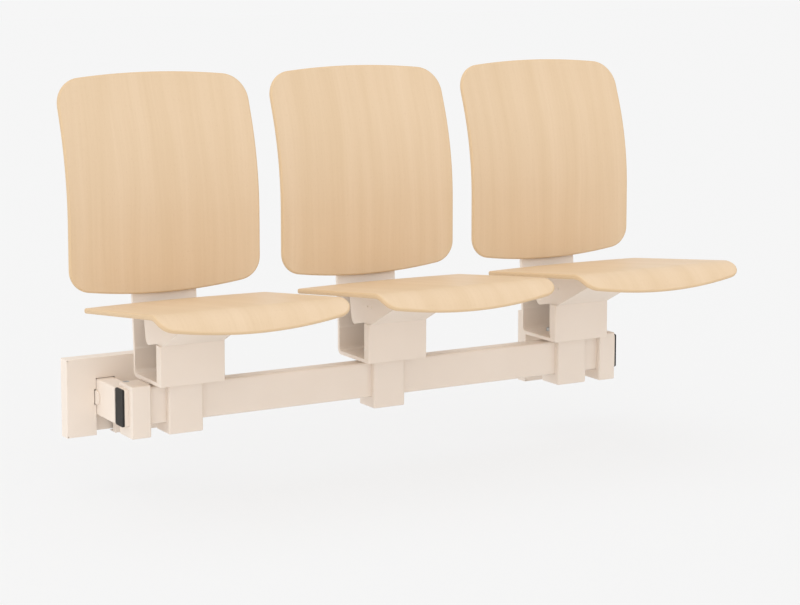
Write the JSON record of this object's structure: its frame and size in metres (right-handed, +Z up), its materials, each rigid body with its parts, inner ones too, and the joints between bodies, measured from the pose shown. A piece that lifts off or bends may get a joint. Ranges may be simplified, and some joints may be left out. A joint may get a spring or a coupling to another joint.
{
  "type": "wall-mounted folding bench",
  "caption": "Wall-mounted bench with separate tip-up plywood seats and fixed curved plywood backs on a steel beam, held off the wall by arms with folded covers.",
  "frame": {"origin": "in the wall plane, in the middle of both patterns of wall fixing holes, level with the middle of the beam", "axes": "+X along the beam, to the right of someone facing the bench; +Y into the wall, so people sit on the -Y side; +Z up"},
  "size_m": [1.445, 0.5631, 0.7869],
  "materials": {
    "beech_plywood": "clear satin lacquer on pale beech veneer",
    "beige_powder_coat": "fine matt powder coat in warm pale beige",
    "black_plastic": "moulded matt black",
    "pale_nylon": "natural nylon",
    "zinc_steel": "bright zinc plate",
    "brass_insert": "turned brass",
    "black_rubber": "moulded rubber"
  },
  "bodies": {
    "frame": {"clamp_bolts": "zinc_steel", "hinge_bolts": "zinc_steel", "rest_buffers": "black_rubber", "raised_buffers": "black_rubber", "back_inserts": "brass_insert", "back_screws": "zinc_steel", "beam_tube": "beige_powder_coat", "end_plugs": "black_plastic", "strap_bolts": "zinc_steel", "arm_cross_bolts": "beige_powder_coat", "arm_cross_nuts": "zinc_steel", "cover_screws": "zinc_steel", "end_strap_left": "beige_powder_coat", "wall_arm_left": "beige_powder_coat", "wall_plate_left": "beige_powder_coat", "wall_cover_left": "beige_powder_coat", "end_strap_right": "beige_powder_coat", "wall_arm_right": "beige_powder_coat", "wall_plate_right": "beige_powder_coat", "wall_cover_right": "beige_powder_coat", "seat_post_left": "beige_powder_coat", "front_tray_left": "beige_powder_coat", "hinge_stand_left": "beige_powder_coat", "clamp_saddle_left": "beige_powder_coat", "clamp_plate_left": "beige_powder_coat", "back_panel_left": "beech_plywood", "seat_post_middle": "beige_powder_coat", "front_tray_middle": "beige_powder_coat", "hinge_stand_middle": "beige_powder_coat", "clamp_saddle_middle": "beige_powder_coat", "clamp_plate_middle": "beige_powder_coat", "back_panel_middle": "beech_plywood", "seat_post_right": "beige_powder_coat", "front_tray_right": "beige_powder_coat", "hinge_stand_right": "beige_powder_coat", "clamp_saddle_right": "beige_powder_coat", "clamp_plate_right": "beige_powder_coat", "back_panel_right": "beech_plywood"},
    "left_seat": {"seat_panel_left": "beech_plywood", "seat_carrier_left": "beige_powder_coat", "seat_inserts_left": "brass_insert", "seat_screws_left": "zinc_steel", "carrier_rivets_left": "beige_powder_coat", "hinge_bosses_left": "beige_powder_coat", "hinge_bushes_left": "pale_nylon"},
    "middle_seat": {"seat_panel_middle": "beech_plywood", "seat_carrier_middle": "beige_powder_coat", "seat_inserts_middle": "brass_insert", "seat_screws_middle": "zinc_steel", "carrier_rivets_middle": "beige_powder_coat", "hinge_bosses_middle": "beige_powder_coat", "hinge_bushes_middle": "pale_nylon"},
    "right_seat": {"seat_panel_right": "beech_plywood", "seat_carrier_right": "beige_powder_coat", "seat_inserts_right": "brass_insert", "seat_screws_right": "zinc_steel", "carrier_rivets_right": "beige_powder_coat", "hinge_bosses_right": "beige_powder_coat", "hinge_bushes_right": "pale_nylon"}
  },
  "joints": [
    {"name": "left_seat_tip", "type": "hinge", "parent": "frame", "child": "left_seat", "pos_m": [-0.5, -0.182, 0.16], "axis": [-1, 0, 0], "range_deg": [0, 80]},
    {"name": "middle_seat_tip", "type": "hinge", "parent": "frame", "child": "middle_seat", "pos_m": [0, -0.182, 0.16], "axis": [-1, 0, 0], "range_deg": [0, 80]},
    {"name": "right_seat_tip", "type": "hinge", "parent": "frame", "child": "right_seat", "pos_m": [0.5, -0.182, 0.16], "axis": [-1, 0, 0], "range_deg": [0, 80]}
  ]
}
